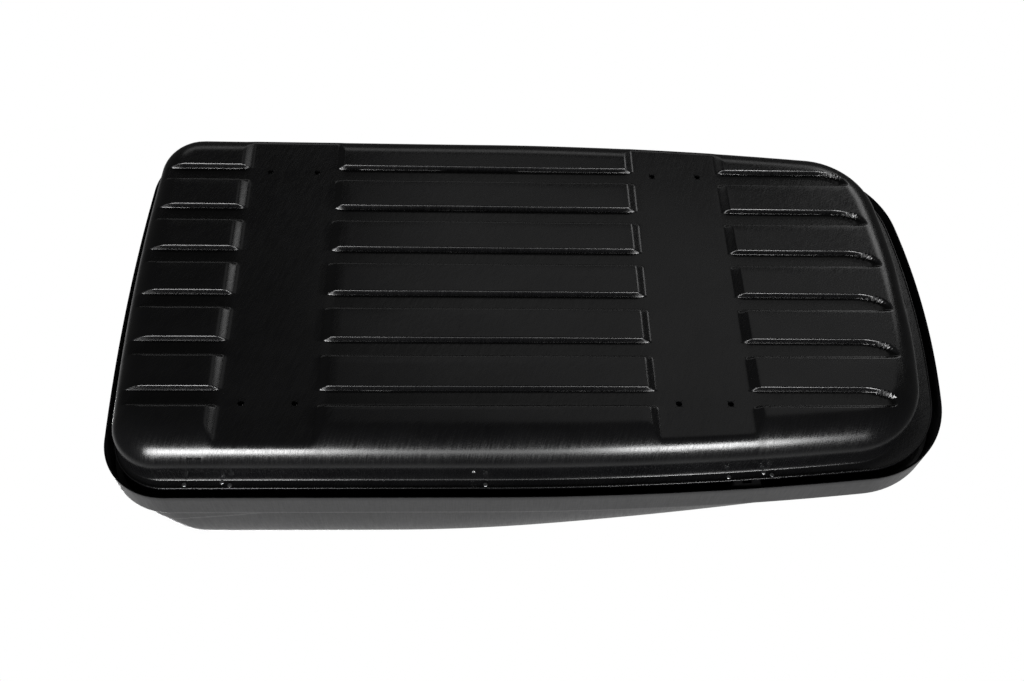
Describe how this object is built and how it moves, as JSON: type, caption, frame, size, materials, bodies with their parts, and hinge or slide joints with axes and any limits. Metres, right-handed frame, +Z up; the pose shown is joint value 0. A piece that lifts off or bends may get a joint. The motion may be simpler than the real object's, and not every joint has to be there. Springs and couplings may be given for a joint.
{
  "type": "roof cargo box",
  "caption": "Car roof cargo box with a moulded tray, a domed lid hinged along one side, a telescopic lid stay and a key lock with a sliding bar.",
  "frame": {"origin": "on the plane of the tray's raised panels, below the middle of the box", "axes": "+X to the nose, +Y to the hinge side, +Z up, as the box sits on a car roof"},
  "size_m": [1.53, 0.788, 0.3909],
  "materials": {
    "tray_plastic": "moulded, satin",
    "lid_plastic": "moulded, satin",
    "zinc_steel": "zinc plated",
    "rivet_metal": "satin",
    "black_steel": "black painted",
    "bar_metal": "brushed",
    "lock_metal": "satin chrome",
    "guide_plastic": "moulded"
  },
  "bodies": {
    "tray": {"base_tray": "tray_plastic", "rear_floor_rail": "zinc_steel", "front_floor_rail": "zinc_steel", "rear_hinge_tray_leaf": "black_steel", "front_hinge_tray_leaf": "black_steel", "rear_hinge_pin": "black_steel", "front_hinge_pin": "black_steel", "hinge_rivets": "rivet_metal", "stay_tray_bracket": "zinc_steel", "stay_tray_pin": "zinc_steel", "stay_tray_rivets": "rivet_metal", "rear_keeper": "zinc_steel", "front_keeper": "zinc_steel", "keeper_rivets": "rivet_metal"},
    "lid": {"lid_shell": "lid_plastic", "rear_hinge_lid_leaf": "black_steel", "front_hinge_lid_leaf": "black_steel", "hinge_screws": "black_steel", "hinge_nuts": "zinc_steel", "stay_lid_bracket": "zinc_steel", "stay_lid_pin": "zinc_steel", "stay_lid_rivets": "rivet_metal", "lock_housing": "guide_plastic", "lock_nut": "zinc_steel", "rear_bar_guide": "guide_plastic", "middle_bar_guide": "guide_plastic", "front_bar_guide": "guide_plastic", "guide_rivets": "rivet_metal"},
    "stay_cylinder": {"stay_tube": "black_steel", "stay_gland": "guide_plastic"},
    "stay_piston": {"stay_rod": "lock_metal"},
    "lock_plug": {"lock_cylinder": "lock_metal", "lock_cam": "zinc_steel"},
    "lock_slider": {"locking_bar": "bar_metal", "rear_hook": "zinc_steel", "front_hook": "zinc_steel", "hook_rivets": "rivet_metal"}
  },
  "joints": [
    {"name": "lid_hinge", "type": "hinge", "parent": "tray", "child": "lid", "pos_m": [0, 0.367, 0.108], "axis": [-1, 0, 0], "range_deg": [0, 55]},
    {"name": "stay_pivot", "type": "hinge", "parent": "tray", "child": "stay_cylinder", "pos_m": [-0.1, 0.325, 0.07], "axis": [-1, 0, 0], "range_deg": [0, 49.8]},
    {"name": "stay_slide", "type": "slide", "parent": "stay_cylinder", "child": "stay_piston", "axis": [0, -0.4871, 0.8734], "range_m": [0, 0.0441]},
    {"name": "lock_turn", "type": "hinge", "parent": "lid", "child": "lock_plug", "pos_m": [-0.15, -0.38, 0.19], "axis": [0, -1, 0], "range_deg": [0, 90]},
    {"name": "bar_slide", "type": "slide", "parent": "lid", "child": "lock_slider", "axis": [1, 0, 0], "range_m": [0, 0.02262]}
  ],
  "couplings": [
    {"joint": "stay_pivot", "follows": "lid_hinge", "ratio": 0.904},
    {"joint": "stay_slide", "follows": "lid_hinge", "m_per_rad": 0.0458},
    {"joint": "lock_turn", "follows": "bar_slide", "rad_per_m": 69.415}
  ]
}
